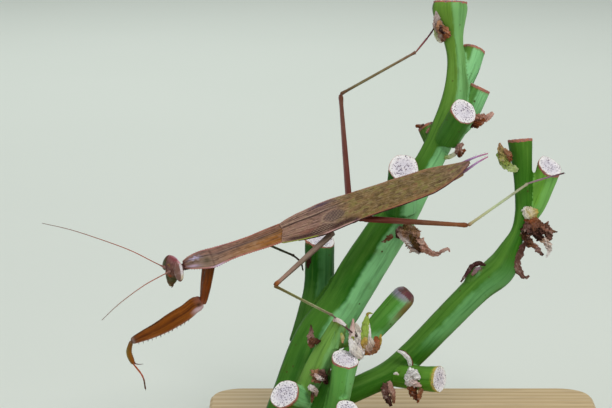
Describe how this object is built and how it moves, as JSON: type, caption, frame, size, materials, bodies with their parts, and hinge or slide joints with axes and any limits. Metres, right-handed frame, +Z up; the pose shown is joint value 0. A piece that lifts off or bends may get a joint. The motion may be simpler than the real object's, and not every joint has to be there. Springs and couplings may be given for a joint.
{
  "type": "praying mantis model",
  "caption": "Life-size praying mantis with folded wings and spined forelegs, gripping a cut green stem with short side stubs on a flat display base.",
  "frame": {"origin": "centre of the display base's underside", "axes": "+Z up; -X is the way the insect's head points; -Y is the side that the main view looks from"},
  "size_m": [0.1429, 0.0833, 0.1158],
  "materials": {
    "abdomen": "satin shell, light brown",
    "foreleg": "satin shell, rust-orange",
    "head": "satin shell, brown with a mauve cast",
    "pronotum": "satin shell, grey-brown with pink margins",
    "perch": "waxy green plant stem with dull woody cut ends",
    "wing": "leathery folded forewing, olive-brown",
    "base": "sanded pale wood",
    "eye": "smooth, slightly glossy compound eye",
    "leg": "satin shell, red-brown",
    "mouth": "dark satin shell",
    "antenna": "fine ringed feeler, orange-red",
    "cercus": "satin shell, purple-brown",
    "shin": "satin shell, olive to pale green",
    "rod": "plain short rod"
  },
  "bodies": {
    "root": {"abdomen": "abdomen", "femur_front_left": "foreleg", "femur_front_right": "foreleg", "head": "head", "tibia_front_right": "foreleg", "pronotum": "pronotum", "perch_stem": "perch", "tibia_front_left": "foreleg", "wing_left": "wing", "wing_right": "wing", "stand_base": "base", "perch_branch": "perch", "thorax": "abdomen", "perch_stub_low": "perch", "neck": "head", "perch_stub_top": "perch", "eye_left": "eye", "eye_right": "eye", "femur_middle_left": "leg", "perch_stub_front": "perch", "perch_stub_right": "perch", "perch_stub_end": "perch", "mouthparts": "mouth", "antenna_right": "antenna", "cercus_right": "cercus", "femur_hind_left": "leg", "perch_stub_inner": "perch", "femur_hind_right": "leg", "antenna_left": "antenna", "coxa_front_right": "foreleg", "femur_middle_right": "leg", "perch_stub_base": "perch", "coxa_front_left": "foreleg", "tarsus_hind_left": "leg", "cercus_left": "cercus", "perch_stub_side": "perch", "perch_stub_upper": "perch", "tarsus_front_left": "foreleg", "tarsus_middle_left": "leg", "tibia_middle_right": "shin", "perch_stub_middle": "perch", "perch_scar": "perch", "tarsus_middle_right": "leg", "tibia_hind_right": "shin", "tibia_hind_left": "shin", "tarsus_hind_right": "leg", "perch_stub_left": "perch", "coxa_middle_left": "leg", "tibia_middle_left": "shin", "tarsus_front_right": "foreleg", "coxa_hind_right": "leg", "stand_rod": "rod", "coxa_middle_right": "leg", "coxa_hind_left": "leg", "perch_stub_back": "perch"}
  },
  "joints": []
}
